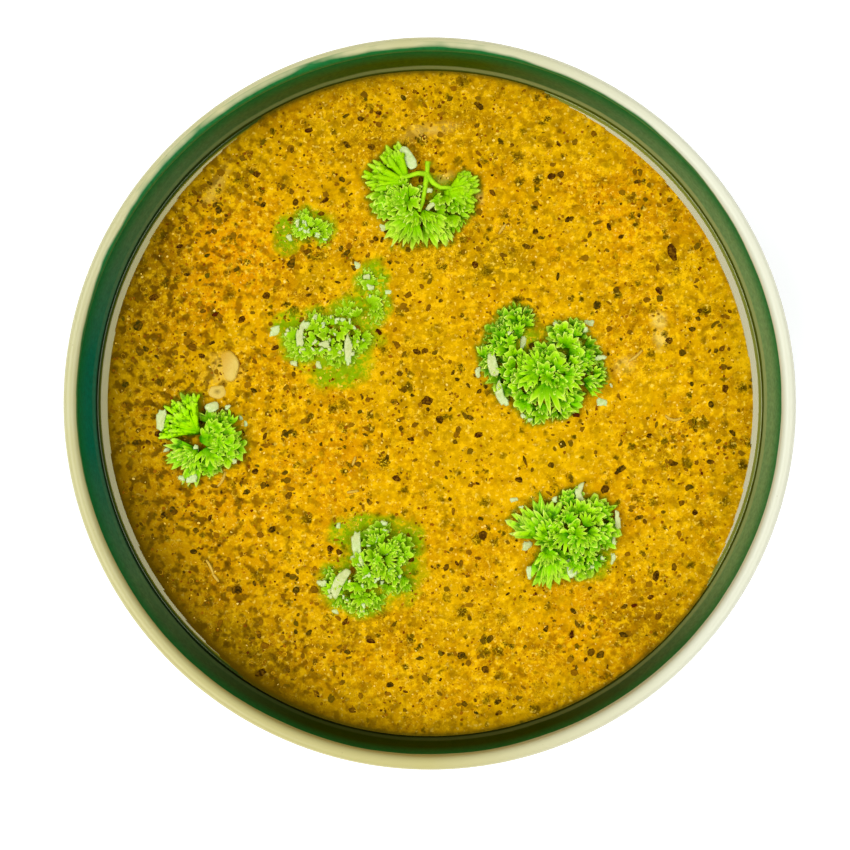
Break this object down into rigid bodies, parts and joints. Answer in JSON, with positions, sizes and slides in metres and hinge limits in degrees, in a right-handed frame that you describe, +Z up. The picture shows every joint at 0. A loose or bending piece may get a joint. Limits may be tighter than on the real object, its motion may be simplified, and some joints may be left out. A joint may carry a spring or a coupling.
{
  "type": "bowl of garlic soup",
  "caption": "Deep round ceramic bowl, cream outside and green inside, filled with golden garlic soup with dried herbs, garlic slices and floating sprigs of curly parsley.",
  "frame": {"origin": "on the table, under the middle of the bowl, at the bottom centre of the bounding box", "axes": "+Z up, out of the soup; +Y towards the top of the picture; +X towards its right"},
  "size_m": [0.16, 0.16, 0.066],
  "materials": {
    "glaze": "glossy glaze, cream outside and on the lip, dark green inside",
    "soup": "wet golden soup, cloudy, with herb flakes, pepper and small bubbles",
    "parsley": "fresh bright green leaf, slightly glossy, paler at the tips",
    "garlic": "cooked garlic, ivory yellow, moist"
  },
  "bodies": {
    "root": {"bowl": "glaze", "soup": "soup", "parsley_sprig_1": "parsley", "parsley_sprig_2": "parsley", "parsley_sprig_3": "parsley", "parsley_sprig_4": "parsley", "parsley_sprig_5": "parsley", "parsley_sprig_6": "parsley", "parsley_sprig_7": "parsley", "garlic_slice_1": "garlic", "garlic_slice_2": "garlic"}
  },
  "joints": []
}
